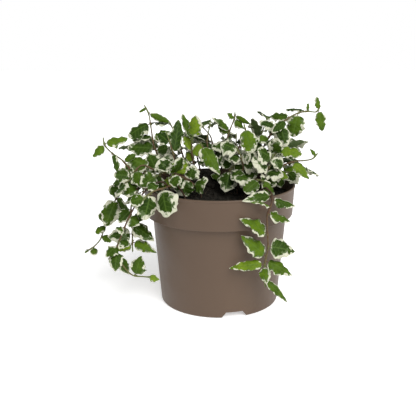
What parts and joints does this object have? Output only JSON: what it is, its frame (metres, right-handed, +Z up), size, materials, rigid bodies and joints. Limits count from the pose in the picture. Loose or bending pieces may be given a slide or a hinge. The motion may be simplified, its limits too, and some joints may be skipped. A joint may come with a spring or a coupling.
{
  "type": "potted creeping fig",
  "caption": "Small variegated creeping fig with wiry trailing stems of cream-edged leaves, rooted in a round tapered plastic nursery pot; stands as a table plant.",
  "frame": {"origin": "centre of the pot's base, on the plane that it stands on", "axes": "+Z up; +X to the viewer's right and +Y away from the viewer, as in the picture"},
  "size_m": [0.1966, 0.1539, 0.1605],
  "materials": {
    "pot_plastic": "matte taupe, lightly satin",
    "potting_soil": "dark moist crumb",
    "foliage": "green leaf with cream edges, satin"
  },
  "bodies": {
    "root": {"pot": "pot_plastic", "soil": "potting_soil", "stem_dark_leaf": "foliage", "stem_far_left": "foliage", "stem_front_left": "foliage", "stem_front_right": "foliage", "stem_inner_1": "foliage", "stem_inner_10": "foliage", "stem_inner_11": "foliage", "stem_inner_12": "foliage", "stem_inner_13": "foliage", "stem_inner_14": "foliage", "stem_inner_15": "foliage", "stem_inner_17": "foliage", "stem_inner_3": "foliage", "stem_inner_5": "foliage", "stem_inner_6": "foliage", "stem_inner_7": "foliage", "stem_inner_8": "foliage", "stem_inner_9": "foliage", "stem_left_arch": "foliage", "stem_left_bright": "foliage", "stem_left_low": "foliage", "stem_left_trail": "foliage", "stem_lime_leaf": "foliage", "stem_long_leaf": "foliage", "stem_low_left": "foliage", "stem_middle_cluster": "foliage", "stem_right_bright": "foliage", "stem_right_cluster": "foliage", "stem_right_middle": "foliage", "stem_right_tips": "foliage", "stem_right_trail": "foliage", "stem_rim_leaf": "foliage", "stem_top_left": "foliage", "stem_top_middle": "foliage", "stem_top_right": "foliage", "stem_v_leaf": "foliage"}
  },
  "joints": []
}
